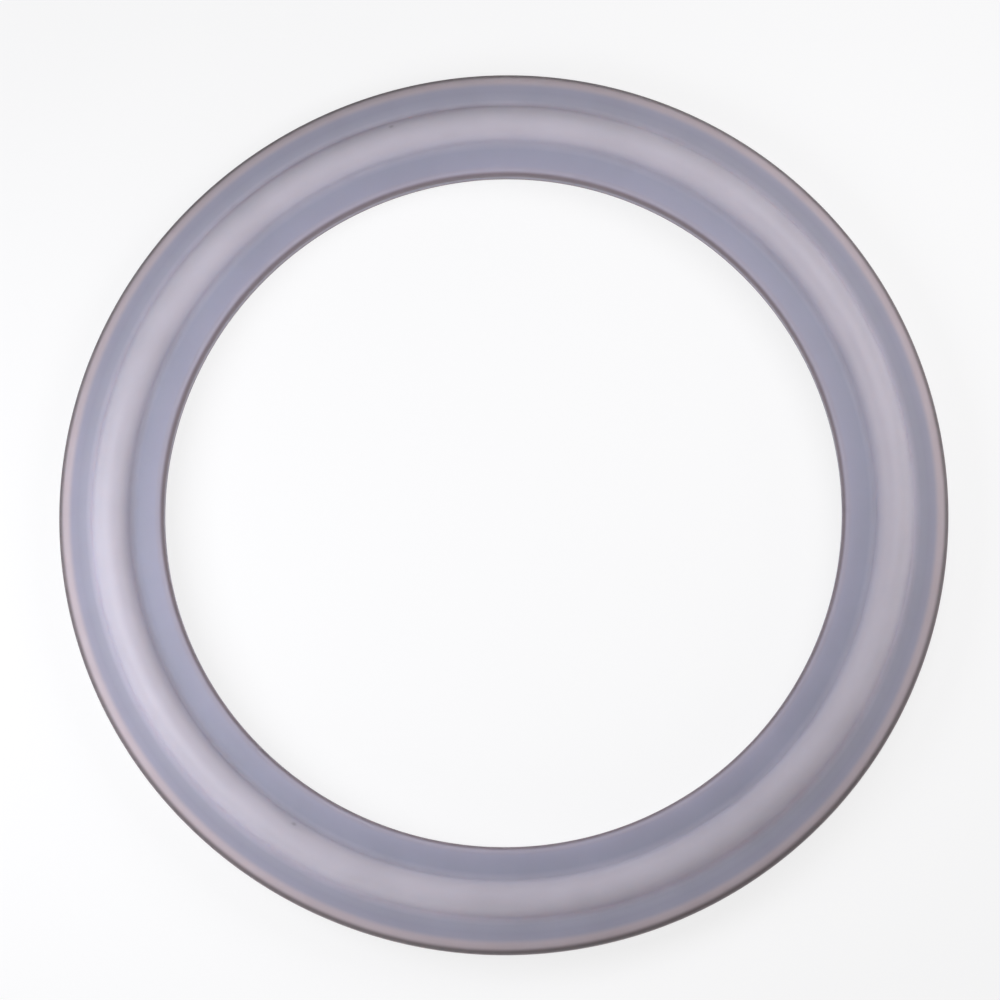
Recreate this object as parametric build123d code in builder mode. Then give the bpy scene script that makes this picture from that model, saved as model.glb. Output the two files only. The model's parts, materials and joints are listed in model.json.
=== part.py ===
"""Sanitary clamp gasket: one moulded silicone ring with a rounded bead on both faces.

The bore runs along Z, and the origin is the centre of the ring, half way through its thickness.
Millimetres.
"""

from build123d import *
import os

# Widths across the ring, from the bore outwards. The bore is flush with the inside of the tube.
bore_diameter = 48.8
inner_land_width = 2.4
bead_width = 2.7
outer_land_width = 2.5

# Thickness of the flat web, and how far the bead stands proud of each face.
web_thickness = 2.0
bead_height = 1.3

# Roundings that the mould leaves: at the rim, at the bore and where the bead meets the lands.
rim_edge_radius = 0.8
bore_edge_radius = 0.5
bead_root_radius = 0.35

# An edge rounding takes at most this share of half the web, so that a straight wall stays between them.
edge_share = 0.9

# Places worked out from the sizes above.
bore_radius = bore_diameter / 2
bead_inner_radius = bore_radius + inner_land_width
bead_circle_radius = bead_inner_radius + bead_width / 2
bead_outer_radius = bead_inner_radius + bead_width
rim_radius = bead_outer_radius + outer_land_width
land_height = web_thickness / 2
crest_height = land_height + bead_height
largest_edge = edge_share * land_height


with BuildPart() as gasket:
    with BuildSketch(Plane.XZ) as section:
        # Upper half of the section: inner land, bead and outer land, closed along the middle of the web.
        with BuildLine() as upper_outline:
            Line((rim_radius, 0), (bore_radius, 0))
            Line((bore_radius, 0), (bore_radius, land_height))
            Line((bore_radius, land_height), (bead_inner_radius, land_height))
            ThreePointArc(
                (bead_inner_radius, land_height),
                (bead_circle_radius, crest_height),
                (bead_outer_radius, land_height),
            )
            Line((bead_outer_radius, land_height), (rim_radius, land_height))
            Line((rim_radius, land_height), (rim_radius, 0))
        make_face()
        # The lower half is the same, so the gasket has no wrong way up.
        mirror(about=Plane.XZ)

        # Corners in order of radius: the bore's, the two roots of the bead, and the rim's. Each rounding
        # makes the outline anew, so its corners are picked again before the next one.
        roots = section.vertices().group_by(Axis.X)[1:3]
        fillet(roots[0] + roots[1], radius=bead_root_radius)
        fillet(section.vertices().group_by(Axis.X)[0], radius=min(bore_edge_radius, largest_edge))
        fillet(section.vertices().group_by(Axis.X)[-1], radius=min(rim_edge_radius, largest_edge))
    revolve(axis=Axis.Z)

gasket.part.label = "gasket"

os.makedirs("parts", exist_ok=True)
export_step(gasket.part, "parts/gasket.step")
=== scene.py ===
"""Sanitary clamp gasket of translucent moulded silicone, lying on a pale studio floor.

The ring is one section swept round a circle by Geometry Nodes. Each point of the section carries its
distance from the bead's circle and from the rim and the bore, and the material turns those into colour:
the thin lands look blue-grey and the thick bead looks milky, with painted light on the bead's roots and
outer flank, and each edge gets a painted dark outline of shade and a painted warm glow of light.
"""

import json
import math

import bpy
from mathutils import Matrix, Vector


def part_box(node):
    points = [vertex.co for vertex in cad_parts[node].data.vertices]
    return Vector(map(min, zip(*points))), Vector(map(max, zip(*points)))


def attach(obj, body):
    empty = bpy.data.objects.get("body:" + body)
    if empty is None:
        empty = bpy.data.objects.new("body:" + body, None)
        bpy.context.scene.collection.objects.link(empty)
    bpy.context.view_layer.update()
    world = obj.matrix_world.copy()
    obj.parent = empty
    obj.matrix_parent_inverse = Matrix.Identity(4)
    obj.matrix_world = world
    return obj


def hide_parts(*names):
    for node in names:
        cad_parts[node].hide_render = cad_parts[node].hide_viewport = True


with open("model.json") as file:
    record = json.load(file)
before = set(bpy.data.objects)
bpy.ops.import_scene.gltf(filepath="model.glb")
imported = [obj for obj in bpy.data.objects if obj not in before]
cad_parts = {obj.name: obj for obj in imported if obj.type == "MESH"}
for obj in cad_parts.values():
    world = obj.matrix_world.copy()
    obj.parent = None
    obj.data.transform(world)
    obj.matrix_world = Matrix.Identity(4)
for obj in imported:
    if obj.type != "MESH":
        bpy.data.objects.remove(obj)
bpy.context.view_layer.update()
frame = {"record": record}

MM = 0.001

# Sizes that the frame gives, in metres.
mounts = {mount["name"]: mount for mount in frame["record"]["mounts"]}
BORE_RADIUS = mounts["bore"]["dims"]["r_mm"] * MM
RIM_RADIUS = mounts["rim"]["dims"]["r_mm"] * MM
BEAD_CIRCLE_RADIUS = mounts["upper_bead"]["pos_m"][0]
CREST_HEIGHT = mounts["upper_bead"]["pos_m"][2]
LAND_HEIGHT = mounts["upper_land"]["pos_m"][2]
FLOOR_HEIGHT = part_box("gasket")[0].z

# The bead's own form and the roundings that the mould leaves.
BEAD_WIDTH = 2.7 * MM
BEAD_ROOT_RADIUS = 0.35 * MM
RIM_EDGE_RADIUS = 0.8 * MM
BORE_EDGE_RADIUS = 0.5 * MM

# The mould's two halves meet half way up the rim and the bore, and leave a hair line there.
PARTING_LINE_HEIGHT = 0.03 * MM
PARTING_LINE_WIDTH = 0.14 * MM

# A soft ring never lies perfectly round: its radius swells and shrinks by this much, three times round.
SLACK = 0.065 * MM
SLACK_LOBES = 3
SLACK_ANGLE = math.radians(74)

# How finely the section is drawn, and how many steps go round the ring.
SECTION_STEP = 0.1 * MM
TURN_STEPS = 400

# Small dents in the flanks of the upper bead, left when the ring was pulled from its mould: angle round
# the ring in degrees, the circle that the dent lies on, how far it reaches from its middle, and its depth.
NICKS = (
    (237.0, 27.15 * MM, 0.55 * MM, 0.12 * MM),
    (106.2, 29.05 * MM, 0.60 * MM, 0.09 * MM),
)

# Each dent carries a painted dark speck, painted shade for a dent too small to shade itself: how far it
# reaches from the middle, and the share of the colour's brightness that it leaves there.
PAINTED_SPECK_REACH = 0.28 * MM
PAINTED_SPECK_SHADE = 0.70

# Milkiness across the bead, by distance from its circle in mm: the thick bead is milkier than the thin lands.
# The
# ramp also holds painted light: the bead's roots are painted lighter, against the shade of their steep
# flanks, and the outer flank is painted paler still, because more light gets in at the rim than at the bore.
MILK_AND_PAINTED_LIGHT = (
    (-1.90, "a6a6b7"),
    (-1.35, "bebbc7"),
    (-0.80, "beb9c2"),
    (0.60, "c7c3cc"),
    (1.40, "d3cfda"),
    (1.85, "b0afbd"),
    (2.40, "a3a2b2"),
)

# Each edge, from the wall inwards: a painted dark outline, painted shade where light runs along the steep
# wall instead of coming out, then a painted warm glow, painted light where it leaves through the rounding.
# Colour and width in mm of the outline, then colour, strength and width in mm of the glow.
PAINTED_EDGE_SHADE_AND_GLOW = {
    "rim_distance": ("726a6d", 0.46, "beb2b5", 0.85, 1.10),
    "bore_distance": ("7d737a", 0.34, "a59da7", 0.45, 0.70),
}

# The share of its width over which the outline, and the glow, keeps its full strength before it fades.
OUTLINE_HOLD = 0.3
GLOW_HOLD = 0.6

# How fast the painted dark outline of shade fades again towards the middle of a wall: mm in plan for each mm
# of height.
EDGE_FADE = 0.9

# Soft clouds in the silicone: their size, and how dim and how bright they make its colour.
CLOUD_SIZE = 5.0 * MM
CLOUD_VALUES = (0.965, 1.035)

# The blasted mould prints a satin grain, and some patches of it shine more than others. The grit is really
# near 0.08 mm and is drawn coarser so that it shows.
GRIT_SIZE = 0.22 * MM
GRIT_DEPTH = 0.012 * MM
SATIN_ROUGHNESS = (0.42, 0.54)

# A noise's values lie between these, apart from a few.
NOISE_SPAN = (0.3, 0.7)

# How far light travels in the silicone between scatters.
SCATTER_LENGTH = 3.0 * MM


def linear(hex_colour):
    """Turns an sRGB hex colour such as "9a9bb0" into the linear RGBA that shaders take."""
    channels = (int(hex_colour[start:start + 2], 16) / 255 for start in (0, 2, 4))
    return tuple(c / 12.92 if c <= 0.04045 else ((c + 0.055) / 1.055) ** 2.4 for c in channels) + (1.0,)


def add(tree, kind, settings, links=None):
    """Adds a node. A setting is a property's name, or a socket's name or number; links feed sockets."""
    made = tree.nodes.new(kind)
    for name, value in settings.items():
        if isinstance(name, str) and hasattr(made, name):
            setattr(made, name, value)
        else:
            made.inputs[name].default_value = value
    for name, source in (links or {}).items():
        tree.links.new(source, made.inputs[name])
    return made


# The gasket's section.

def arc(centre, radius, start, end):
    """Points along an arc, from one angle to another, no further apart than the section's step."""
    steps = max(6, math.ceil(abs(end - start) * radius / SECTION_STEP))
    angles = [start + (end - start) * step / steps for step in range(steps + 1)]
    return [(centre[0] + radius * math.cos(a), centre[1] + radius * math.sin(a)) for a in angles]


def straight(start, end):
    """Points inside a straight run, without its two ends."""
    steps = max(2, math.ceil(math.dist(start, end) / SECTION_STEP))
    return [
        tuple(a + (b - a) * step / steps for a, b in zip(start, end))
        for step in range(1, steps)
    ]


def parting_line(radius, outward):
    """The hair line half way up a wall, as the upper half of a small ridge."""
    crest = (radius + outward * PARTING_LINE_HEIGHT, 0.0)
    foot = (radius, PARTING_LINE_WIDTH / 2)
    return crest, foot


def bead_arc():
    """The radius of the bead's arc, and the height of its centre."""
    bead_height = CREST_HEIGHT - LAND_HEIGHT
    bead_radius = (BEAD_WIDTH ** 2 / 4 + bead_height ** 2) / (2 * bead_height)
    return bead_radius, CREST_HEIGHT - bead_radius


def nick_centres():
    """Where each dent's middle lies on the bead."""
    bead_radius, bead_centre_height = bead_arc()
    for degrees, radius, dent_reach, depth in NICKS:
        turn = math.radians(degrees)
        rise = math.sqrt(bead_radius ** 2 - (radius - BEAD_CIRCLE_RADIUS) ** 2)
        yield radius * math.cos(turn), radius * math.sin(turn), bead_centre_height + rise


def upper_section():
    """The upper half of the section from the bore over the bead to the rim, as radius and height."""
    bead_radius, bead_centre_height = bead_arc()

    # The root's arc touches the land and the bead: its centre is one root radius above the land.
    root_height = LAND_HEIGHT + BEAD_ROOT_RADIUS
    rise = root_height - bead_centre_height
    reach = math.sqrt((bead_radius + BEAD_ROOT_RADIUS) ** 2 - rise ** 2)
    flank = math.atan2(rise, reach)

    bore_crest, bore_foot = parting_line(BORE_RADIUS, -1)
    rim_crest, rim_foot = parting_line(RIM_RADIUS, 1)
    bore_edge = arc(
        (BORE_RADIUS + BORE_EDGE_RADIUS, LAND_HEIGHT - BORE_EDGE_RADIUS),
        BORE_EDGE_RADIUS, math.pi, math.pi / 2,
    )
    inner_root = arc(
        (BEAD_CIRCLE_RADIUS - reach, root_height), BEAD_ROOT_RADIUS, -math.pi / 2, -flank,
    )
    bead = arc((BEAD_CIRCLE_RADIUS, bead_centre_height), bead_radius, math.pi - flank, flank)
    outer_root = arc(
        (BEAD_CIRCLE_RADIUS + reach, root_height), BEAD_ROOT_RADIUS, math.pi + flank, 1.5 * math.pi,
    )
    rim_edge = arc(
        (RIM_RADIUS - RIM_EDGE_RADIUS, LAND_HEIGHT - RIM_EDGE_RADIUS),
        RIM_EDGE_RADIUS, math.pi / 2, 0,
    )
    return (
        [bore_crest, bore_foot] + straight(bore_foot, bore_edge[0])
        + bore_edge + straight(bore_edge[-1], inner_root[0])
        + inner_root + bead[1:-1] + outer_root
        + straight(outer_root[-1], rim_edge[0]) + rim_edge
        + straight(rim_edge[-1], rim_foot) + [rim_foot, rim_crest]
    )


def gasket_section():
    """The closed section as a mesh of edges. It carries the distances that its colour goes by, in mm."""
    upper = upper_section()
    lower = [(radius, -height) for radius, height in reversed(upper[1:-1])]
    points = upper + lower
    mesh = bpy.data.meshes.new("gasket_section")
    # The sweep turns a section's Y down, so heights go in with their sign changed.
    vertices = [(radius - BEAD_CIRCLE_RADIUS, -height, 0) for radius, height in points]
    edges = [(i, (i + 1) % len(points)) for i in range(len(points))]
    mesh.from_pydata(vertices, edges, [])

    # The distance from a wall grows again towards the wall's middle, so the painted dark outline of shade is
    # darkest at its roundings.
    middle = [max(0.0, LAND_HEIGHT / 2 - abs(height)) * EDGE_FADE for radius, height in points]
    inside_rim = [max(0.0, RIM_RADIUS - radius) for radius, height in points]
    outside_bore = [max(0.0, radius - BORE_RADIUS) for radius, height in points]
    values = {
        "across_bead": [(radius - BEAD_CIRCLE_RADIUS) / MM for radius, height in points],
        "rim_distance": [(plan + back) / MM for plan, back in zip(inside_rim, middle)],
        "bore_distance": [(plan + back) / MM for plan, back in zip(outside_bore, middle)],
    }
    for name, numbers in values.items():
        mesh.attributes.new(name, "FLOAT", "POINT").data.foreach_set("value", numbers)
    return mesh


# The sweep, in Geometry Nodes.

def ring_tree():
    """Sweeps a section round a circle that is a little out of round, and presses small dents in it."""
    tree = bpy.data.node_groups.new("swept_ring", "GeometryNodeTree")
    for name, kind in (
        ("Section", "NodeSocketGeometry"),
        ("Radius", "NodeSocketFloat"),
        ("Steps", "NodeSocketInt"),
        ("Slack", "NodeSocketFloat"),
        ("Lobes", "NodeSocketInt"),
        ("Slack Angle", "NodeSocketFloat"),
        ("Material", "NodeSocketMaterial"),
    ):
        tree.interface.new_socket(name=name, in_out="INPUT", socket_type=kind)
    tree.interface.new_socket(name="Ring", in_out="OUTPUT", socket_type="NodeSocketGeometry")
    given = add(tree, "NodeGroupInput", {}).outputs

    # Path: a circle whose radius swells by Slack times the cosine of Lobes times the angle.
    circle = add(tree, "GeometryNodeCurvePrimitiveCircle", {},
                 {"Resolution": given["Steps"], "Radius": given["Radius"]})
    place = add(tree, "GeometryNodeInputPosition", {})
    across = add(tree, "ShaderNodeSeparateXYZ", {}, {"Vector": place.outputs["Position"]})
    angle = add(tree, "ShaderNodeMath", {"operation": "ARCTAN2"},
                {0: across.outputs["Y"], 1: across.outputs["X"]})
    turned = add(tree, "ShaderNodeMath", {"operation": "SUBTRACT"},
                 {0: angle.outputs[0], 1: given["Slack Angle"]})
    phase = add(tree, "ShaderNodeMath", {"operation": "MULTIPLY"},
                {0: turned.outputs[0], 1: given["Lobes"]})
    swell = add(tree, "ShaderNodeMath", {"operation": "COSINE"}, {0: phase.outputs[0]})
    reach = add(tree, "ShaderNodeMath", {"operation": "MULTIPLY"},
                {0: swell.outputs[0], 1: given["Slack"]})
    outward = add(tree, "ShaderNodeVectorMath", {"operation": "NORMALIZE"},
                  {0: place.outputs["Position"]})
    shift = add(tree, "ShaderNodeVectorMath", {"operation": "SCALE"},
                {0: outward.outputs["Vector"], "Scale": reach.outputs[0]})
    path = add(tree, "GeometryNodeSetPosition", {},
               {"Geometry": circle.outputs["Curve"], "Offset": shift.outputs["Vector"]})

    section = add(tree, "GeometryNodeMeshToCurve", {}, {"Mesh": given["Section"]})
    ring = add(tree, "GeometryNodeCurveToMesh", {},
               {"Curve": path.outputs["Geometry"], "Profile Curve": section.outputs["Curve"]})
    shape = ring.outputs["Mesh"]

    # Dents: points near a nick's centre go down, by most at the centre.
    for centre, (degrees, radius, dent_reach, depth) in zip(nick_centres(), NICKS):
        near = add(tree, "ShaderNodeVectorMath", {"operation": "DISTANCE", 1: centre},
                   {0: place.outputs["Position"]})
        press = add(tree, "ShaderNodeMapRange",
                    {"interpolation_type": "SMOOTHSTEP", "From Min": 0.0, "From Max": dent_reach,
                     "To Min": -depth, "To Max": 0.0},
                    {"Value": near.outputs["Value"]})
        down = add(tree, "ShaderNodeCombineXYZ", {}, {"Z": press.outputs["Result"]})
        dented = add(tree, "GeometryNodeSetPosition", {},
                     {"Geometry": shape, "Offset": down.outputs["Vector"]})
        shape = dented.outputs["Geometry"]

    smooth = add(tree, "GeometryNodeSetShadeSmooth", {}, {"Geometry": shape})
    whole = add(tree, "GeometryNodeRealizeInstances", {}, {"Geometry": smooth.outputs["Geometry"]})
    finished = add(tree, "GeometryNodeSetMaterial", {},
                   {"Geometry": whole.outputs["Geometry"], "Material": given["Material"]})
    add(tree, "NodeGroupOutput", {}, {"Ring": finished.outputs["Geometry"]})
    return tree


def gasket_ring(material):
    """The gasket as one plain mesh, swept from its section."""
    maker = bpy.data.objects.new("gasket_maker", gasket_section())
    bpy.context.scene.collection.objects.link(maker)
    tree = ring_tree()
    sweep = maker.modifiers.new("sweep", "NODES")
    sweep.node_group = tree
    sizes = {
        "Radius": BEAD_CIRCLE_RADIUS,
        "Steps": TURN_STEPS,
        "Slack": SLACK,
        "Lobes": SLACK_LOBES,
        "Slack Angle": SLACK_ANGLE,
        "Material": material,
    }
    for socket in tree.interface.items_tree:
        if socket.name in sizes:
            sweep[socket.identifier] = sizes[socket.name]

    evaluated = maker.evaluated_get(bpy.context.evaluated_depsgraph_get())
    mesh = bpy.data.meshes.new_from_object(evaluated)
    bpy.data.objects.remove(maker)
    mesh.name = "moulded_ring"
    ring = bpy.data.objects.new("moulded_ring", mesh)
    bpy.context.scene.collection.objects.link(ring)
    return ring


# The silicone.

def colour_ramp(tree, source, stops):
    """A colour that changes with a value from 0 to 1, through a few hex colours."""
    made = add(tree, "ShaderNodeValToRGB", {}, {"Fac": source})
    elements = made.color_ramp.elements
    while len(elements) < len(stops):
        elements.new(1.0)
    for element, (position, colour) in zip(elements, stops):
        element.position = position
        element.color = linear(colour)
    return made


def moulded_silicone():
    """Platinum-cured silicone, compression moulded and left clear.

    It scatters light inside: the thin lands look blue-grey and the thick bead milky and faintly pink. Its
    colour
    also holds painted light and shade: lighter bead roots and outer flank, and at the rounded edges a painted
    warm glow inside a painted dark outline. The mould's satin finish gives a soft, broad shine.
    """
    material = bpy.data.materials.new("moulded_translucent_silicone")
    material.use_nodes = True
    tree = material.node_tree
    tree.nodes.clear()

    # The bead is milky and the lands beside it are blue-grey; the bead's roots and outer flank also carry
    # painted light.
    across = add(tree, "ShaderNodeAttribute", {"attribute_name": "across_bead"})
    inner_end, outer_end = MILK_AND_PAINTED_LIGHT[0][0], MILK_AND_PAINTED_LIGHT[-1][0]
    place_across = add(tree, "ShaderNodeMapRange", {"From Min": inner_end, "From Max": outer_end},
                       {"Value": across.outputs["Fac"]})
    milk_and_painted_light = colour_ramp(tree, place_across.outputs["Result"], [
        ((distance - inner_end) / (outer_end - inner_end), shade) for distance, shade in MILK_AND_PAINTED_LIGHT
    ])

    # Over that lies each edge's painted warm glow of light and, nearer the wall, its painted dark outline of
    # shade.
    colour = milk_and_painted_light.outputs["Color"]
    for edge, (outline, outline_width, glow, strength, glow_width) in PAINTED_EDGE_SHADE_AND_GLOW.items():
        distance = add(tree, "ShaderNodeAttribute", {"attribute_name": edge})
        painted_glow_amount = add(tree, "ShaderNodeMapRange",
                     {"interpolation_type": "SMOOTHSTEP", "From Min": GLOW_HOLD * glow_width,
                      "From Max": glow_width, "To Min": strength, "To Max": 0.0},
                     {"Value": distance.outputs["Fac"]})
        painted_glow_mix = add(tree, "ShaderNodeMix", {"data_type": "RGBA", 7: linear(glow)},
                     {0: painted_glow_amount.outputs["Result"], 6: colour})
        painted_shade_amount = add(tree, "ShaderNodeMapRange",
                       {"interpolation_type": "SMOOTHSTEP", "From Min": OUTLINE_HOLD * outline_width,
                        "From Max": outline_width, "To Min": 1.0, "To Max": 0.0},
                       {"Value": distance.outputs["Fac"]})
        painted_outline_mix = add(tree, "ShaderNodeMix", {"data_type": "RGBA", 7: linear(outline)},
                       {0: painted_shade_amount.outputs["Result"], 6: painted_glow_mix.outputs[2]})
        colour = painted_outline_mix.outputs[2]

    # The milkiness is never quite even: soft clouds a few millimetres across.
    place = add(tree, "ShaderNodeTexCoord", {})
    clouds = add(tree, "ShaderNodeTexNoise", {"Scale": 1 / CLOUD_SIZE, "Detail": 2.0, "Roughness": 0.5},
                 {"Vector": place.outputs["Object"]})
    haze = add(tree, "ShaderNodeMapRange",
               {"From Min": NOISE_SPAN[0], "From Max": NOISE_SPAN[1],
                "To Min": CLOUD_VALUES[0], "To Max": CLOUD_VALUES[1]},
               {"Value": clouds.outputs["Fac"]})
    value = haze.outputs["Result"]

    # Painted shade in the dents makes each a small dark speck.
    for centre in nick_centres():
        near = add(tree, "ShaderNodeVectorMath", {"operation": "DISTANCE", 1: centre},
                   {0: place.outputs["Object"]})
        painted_speck = add(tree, "ShaderNodeMapRange",
                   {"interpolation_type": "SMOOTHSTEP", "From Max": PAINTED_SPECK_REACH, "To Min": PAINTED_SPECK_SHADE},
                   {"Value": near.outputs["Value"]})
        value = add(tree, "ShaderNodeMath", {"operation": "MULTIPLY"},
                    {0: value, 1: painted_speck.outputs["Result"]}).outputs[0]
    clouded = add(tree, "ShaderNodeHueSaturation", {}, {"Value": value, "Color": colour})

    # The mould's grit leaves a satin grain, and some patches shine more.
    grain = add(tree, "ShaderNodeTexNoise", {"Scale": 1 / GRIT_SIZE, "Detail": 1.0},
                {"Vector": place.outputs["Object"]})
    satin = add(tree, "ShaderNodeBump", {"Strength": 0.25, "Distance": GRIT_DEPTH},
                {"Height": grain.outputs["Fac"]})
    shine = add(tree, "ShaderNodeMapRange",
                {"From Min": NOISE_SPAN[0], "From Max": NOISE_SPAN[1],
                 "To Min": SATIN_ROUGHNESS[0], "To Max": SATIN_ROUGHNESS[1]},
                {"Value": clouds.outputs["Fac"]})

    surface = add(tree, "ShaderNodeBsdfPrincipled", {
        "IOR": 1.41,
        "Subsurface Weight": 1.0,
        "Subsurface Radius": (1.0, 0.85, 0.8),
        "Subsurface Scale": SCATTER_LENGTH,
    }, {
        "Base Color": clouded.outputs["Color"],
        "Roughness": shine.outputs["Result"],
        "Normal": satin.outputs["Normal"],
    })
    add(tree, "ShaderNodeOutputMaterial", {}, {"Surface": surface.outputs["BSDF"]})
    return material


gasket = gasket_ring(moulded_silicone())
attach(gasket, "root")
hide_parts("gasket")


# The studio.

def white_to_the_eye(tree, shade, background):
    """Mixes a shade that lights the object with a background that only the eye and reflections see."""
    rays = add(tree, "ShaderNodeLightPath", {})
    seen = add(tree, "ShaderNodeMath", {"operation": "MAXIMUM"},
               {0: rays.outputs["Is Camera Ray"], 1: rays.outputs["Is Glossy Ray"]})
    seen = add(tree, "ShaderNodeMath", {"operation": "MAXIMUM"},
               {0: seen.outputs[0], 1: rays.outputs["Is Transmission Ray"]})
    return add(tree, "ShaderNodeMixShader", {}, {0: seen.outputs[0], 1: shade, 2: background})


def studio_world():
    """Very faint, even light from all round, which looks plain white behind the object."""
    world = bpy.data.worlds.new("studio")
    bpy.context.scene.world = world
    world.use_nodes = True
    tree = world.node_tree
    tree.nodes.clear()
    even = add(tree, "ShaderNodeBackground", {"Color": linear("f6f5f8"), "Strength": 0.05})
    white = add(tree, "ShaderNodeBackground", {"Color": linear("ffffff"), "Strength": 1.0})
    mixed = white_to_the_eye(tree, even.outputs[0], white.outputs[0])
    add(tree, "ShaderNodeOutputWorld", {}, {"Surface": mixed.outputs[0]})


def studio_floor():
    """A white floor that keeps the object's soft shadow and runs out to plain white further off.

    To the eye most of its white is its own, so the shadow shows only faintly. The ring is lit by it as by
    plain paper.
    """
    material = bpy.data.materials.new("white_studio_floor")
    material.use_nodes = True
    tree = material.node_tree
    tree.nodes.clear()
    paper = add(tree, "ShaderNodeBsdfDiffuse", {"Color": linear("e6e6e6")})
    dimmed = add(tree, "ShaderNodeBsdfDiffuse", {"Color": linear("7c7c7c")})
    lift = add(tree, "ShaderNodeEmission", {"Color": linear("ffffff"), "Strength": 0.80})
    shadowed = add(tree, "ShaderNodeAddShader", {}, {0: dimmed.outputs[0], 1: lift.outputs[0]})
    white = add(tree, "ShaderNodeEmission", {"Color": linear("ffffff"), "Strength": 1.0})

    place = add(tree, "ShaderNodeTexCoord", {})
    distance = add(tree, "ShaderNodeVectorMath", {"operation": "LENGTH"}, {0: place.outputs["Object"]})
    far = add(tree, "ShaderNodeMapRange",
              {"interpolation_type": "SMOOTHSTEP", "From Min": 1.4 * RIM_RADIUS, "From Max": 3 * RIM_RADIUS},
              {"Value": distance.outputs["Value"]})
    seen = add(tree, "ShaderNodeMixShader", {},
               {0: far.outputs["Result"], 1: shadowed.outputs[0], 2: white.outputs[0]})
    mixed = white_to_the_eye(tree, paper.outputs[0], seen.outputs[0])
    add(tree, "ShaderNodeOutputMaterial", {}, {"Surface": mixed.outputs[0]})

    # Wide enough that its edges lie far out, where it is plain white.
    half = 40 * RIM_RADIUS
    mesh = bpy.data.meshes.new("floor")
    corners = [
        (x, y, FLOOR_HEIGHT)
        for x, y in ((-half, -half), (half, -half), (half, half), (-half, half))
    ]
    mesh.from_pydata(corners, [], [(0, 1, 2, 3)])
    mesh.materials.append(material)
    floor = bpy.data.objects.new("floor", mesh)
    bpy.context.scene.collection.objects.link(floor)


def soft_light(name, azimuth, elevation, distance, size, share, colour):
    """A square soft light aimed at the ring's centre, placed by its angles in degrees and distance in metres.

    By itself it would light a white level surface there to about this share of full white.
    """
    turn, rise = math.radians(azimuth), math.radians(elevation)
    towards = Vector((math.cos(rise) * math.cos(turn), math.cos(rise) * math.sin(turn), math.sin(rise)))
    data = bpy.data.lights.new(name, "AREA")
    data.shape = "SQUARE"
    data.size = size
    data.color = linear(colour)[:3]
    data.energy = share * math.pi ** 2 * distance ** 2 / math.sin(rise)
    lamp = bpy.data.objects.new(name, data)
    lamp.location = towards * distance
    lamp.rotation_euler = towards.to_track_quat("Z", "Y").to_euler()
    lamp.visible_camera = False
    bpy.context.scene.collection.objects.link(lamp)


def studio_camera():
    """Looks down on the ring, 9 degrees off its axis, from the near side."""
    lens, sensor = 152.6, 36.0
    distance = 305.4 * MM
    tilt, azimuth = math.radians(8.93), math.radians(-80.1)
    # The ring sits a little right of and below the middle of the view.
    aim = Vector((-0.24 * MM, 0.67 * MM, 0))

    back = Vector((
        math.sin(tilt) * math.cos(azimuth),
        math.sin(tilt) * math.sin(azimuth),
        math.cos(tilt),
    ))
    right = Vector((0, 1, 0)).cross(back).normalized()
    up = back.cross(right)
    data = bpy.data.cameras.new("camera")
    data.lens = lens
    data.sensor_width = sensor
    data.clip_start = distance / 100
    data.clip_end = distance * 100
    camera = bpy.data.objects.new("camera", data)
    axes = Matrix((right, up, back)).transposed()
    camera.matrix_world = Matrix.Translation(aim + back * distance) @ axes.to_4x4()
    bpy.context.scene.collection.objects.link(camera)
    bpy.context.scene.camera = camera


studio_world()
studio_floor()

# Two near windows, left and right, and two weak cards low on the right and in front that lift the flanks.
soft_light("left_window", 192, 46, 0.073, 0.05, 0.51, "f6f7ff")
soft_light("right_window", 36, 53, 0.075, 0.05, 0.37, "fbfaff")
soft_light("right_card", 0, 14, 0.16, 0.08, 0.045, "fdf9fb")
soft_light("front_card", 256, 14, 0.16, 0.08, 0.040, "fdf9fb")
studio_camera()
bpy.context.scene.view_settings.view_transform = "Standard"
